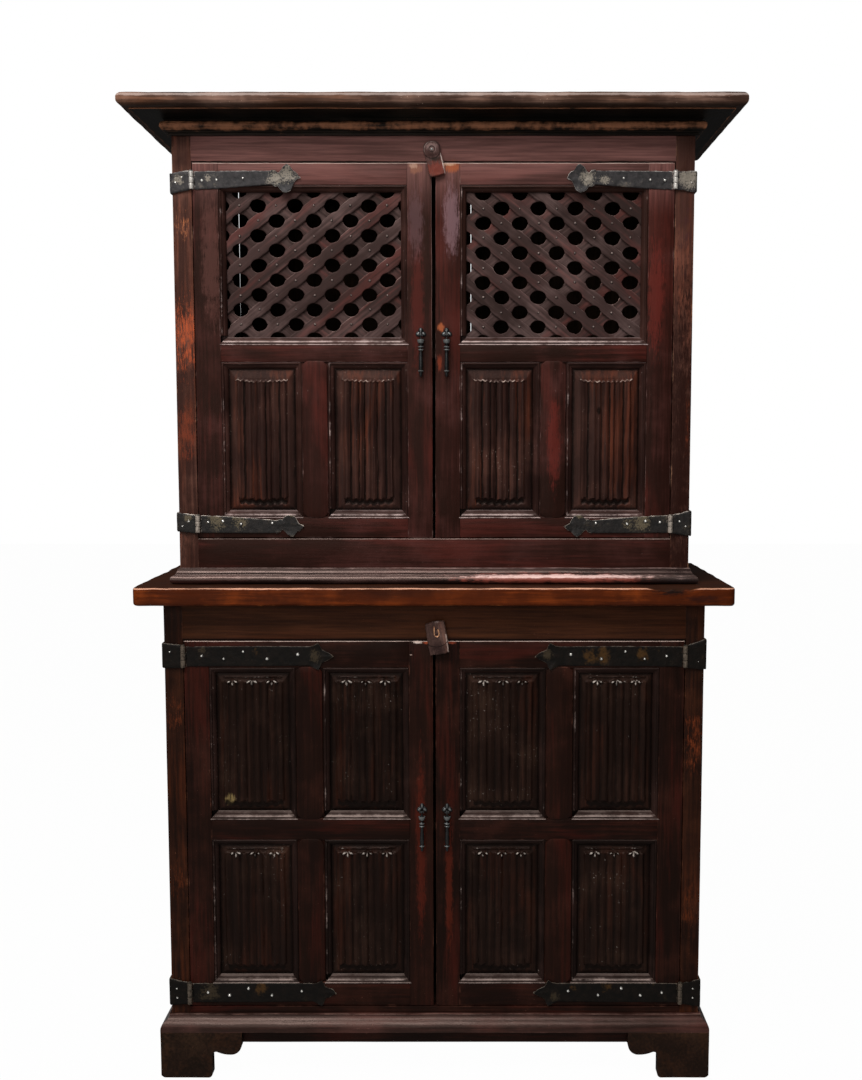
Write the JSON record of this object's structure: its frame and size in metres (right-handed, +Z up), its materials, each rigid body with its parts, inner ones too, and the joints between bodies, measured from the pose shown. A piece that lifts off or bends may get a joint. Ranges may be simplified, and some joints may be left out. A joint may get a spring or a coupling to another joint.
{
  "type": "two-stage cabinet",
  "caption": "Two-stage framed cupboard in dark waxed wood with lattice and linenfold doors, strap hinges, drop pulls, turn buttons, a waist slab and bracket feet.",
  "frame": {"origin": "on the floor, under the middle of the top board", "axes": "+Z up, -Y out of the front, +X to the right seen from the front"},
  "size_m": [1.216, 0.48, 2.004],
  "materials": {
    "upper_wood": "waxed dark red-brown, worn lighter at the edges",
    "lower_wood": "waxed, almost black brown",
    "slab_wood": "waxed red-brown, worn to orange",
    "lattice_wood": "grey-brown, dry wax",
    "button_wood": "worn, handled",
    "inner_wood": "unfinished, aged",
    "wrought_iron": "hammered, dark with a pale crust",
    "nail_iron": "hammered heads, rubbed bright"
  },
  "bodies": {
    "case": {"base_mouldings": "upper_wood", "bracket_feet": "lower_wood", "case_nails": "nail_iron", "cornice_mouldings": "upper_wood", "hinge_leaves": "wrought_iron", "hinge_pins": "wrought_iron", "lower_back_boards": "inner_wood", "lower_floor": "inner_wood", "lower_front_rails": "lower_wood", "lower_posts": "lower_wood", "lower_shelf": "inner_wood", "lower_side_panels": "lower_wood", "lower_side_rails": "lower_wood", "shelf_cleats": "inner_wood", "top_board": "upper_wood", "upper_back_boards": "inner_wood", "upper_floor": "inner_wood", "upper_front_rails": "upper_wood", "upper_posts": "upper_wood", "upper_shelf": "inner_wood", "upper_side_panels": "upper_wood", "upper_side_rails": "upper_wood", "waist_mouldings": "upper_wood", "waist_slab": "slab_wood"},
    "door_upper_left": {"door_upper_left_lattice": "lattice_wood", "door_upper_left_mouldings": "upper_wood", "door_upper_left_nails": "nail_iron", "door_upper_left_panels": "upper_wood", "door_upper_left_pull_plate": "wrought_iron", "door_upper_left_rails": "upper_wood", "door_upper_left_stiles": "upper_wood", "door_upper_left_straps": "wrought_iron"},
    "door_upper_right": {"door_upper_right_lattice": "lattice_wood", "door_upper_right_mouldings": "upper_wood", "door_upper_right_nails": "nail_iron", "door_upper_right_panels": "upper_wood", "door_upper_right_pull_plate": "wrought_iron", "door_upper_right_rails": "upper_wood", "door_upper_right_stiles": "upper_wood", "door_upper_right_straps": "wrought_iron"},
    "door_lower_left": {"door_lower_left_mouldings": "lower_wood", "door_lower_left_nails": "nail_iron", "door_lower_left_panels": "lower_wood", "door_lower_left_pull_plate": "wrought_iron", "door_lower_left_rails": "lower_wood", "door_lower_left_stiles": "lower_wood", "door_lower_left_straps": "wrought_iron"},
    "door_lower_right": {"door_lower_right_mouldings": "lower_wood", "door_lower_right_nails": "nail_iron", "door_lower_right_panels": "lower_wood", "door_lower_right_pull_plate": "wrought_iron", "door_lower_right_rails": "lower_wood", "door_lower_right_stiles": "lower_wood", "door_lower_right_straps": "wrought_iron"},
    "pull_upper_left": {"door_upper_left_pull_drop": "wrought_iron"},
    "pull_upper_right": {"door_upper_right_pull_drop": "wrought_iron"},
    "pull_lower_left": {"door_lower_left_pull_drop": "wrought_iron"},
    "pull_lower_right": {"door_lower_right_pull_drop": "wrought_iron"},
    "turn_button_upper": {"turn_button_upper": "button_wood"},
    "turn_button_lower": {"turn_button_lower": "button_wood"}
  },
  "joints": [
    {"name": "door_upper_left_swing", "type": "hinge", "parent": "case", "child": "door_upper_left", "pos_m": [-0.483, -0.1594, 1.508], "axis": [0, 0, -1], "range_deg": [0, 165]},
    {"name": "door_upper_right_swing", "type": "hinge", "parent": "case", "child": "door_upper_right", "pos_m": [0.483, -0.1594, 1.508], "axis": [0, 0, 1], "range_deg": [0, 165]},
    {"name": "door_lower_left_swing", "type": "hinge", "parent": "case", "child": "door_lower_left", "pos_m": [-0.515, -0.1774, 0.535], "axis": [0, 0, -1], "range_deg": [0, 165]},
    {"name": "door_lower_right_swing", "type": "hinge", "parent": "case", "child": "door_lower_right", "pos_m": [0.515, -0.1774, 0.535], "axis": [0, 0, 1], "range_deg": [0, 165]},
    {"name": "pull_upper_left_lift", "type": "hinge", "parent": "door_upper_left", "child": "pull_upper_left", "pos_m": [-0.026, -0.164, 1.546], "axis": [-1, 0, 0], "range_deg": [0, 80]},
    {"name": "pull_upper_right_lift", "type": "hinge", "parent": "door_upper_right", "child": "pull_upper_right", "pos_m": [0.026, -0.164, 1.546], "axis": [-1, 0, 0], "range_deg": [0, 80]},
    {"name": "pull_lower_left_lift", "type": "hinge", "parent": "door_lower_left", "child": "pull_lower_left", "pos_m": [-0.026, -0.182, 0.568], "axis": [-1, 0, 0], "range_deg": [0, 80]},
    {"name": "pull_lower_right_lift", "type": "hinge", "parent": "door_lower_right", "child": "pull_lower_right", "pos_m": [0.026, -0.182, 0.568], "axis": [-1, 0, 0], "range_deg": [0, 80]},
    {"name": "turn_button_upper_turn", "type": "hinge", "parent": "case", "child": "turn_button_upper", "pos_m": [-0.003, -0.161, 1.911], "axis": [0, -1, 0], "range_deg": [-103, 77]},
    {"name": "turn_button_lower_turn", "type": "hinge", "parent": "case", "child": "turn_button_lower", "pos_m": [0.004, -0.18, 0.946], "axis": [0, -1, 0], "range_deg": [-99, 81]}
  ]
}
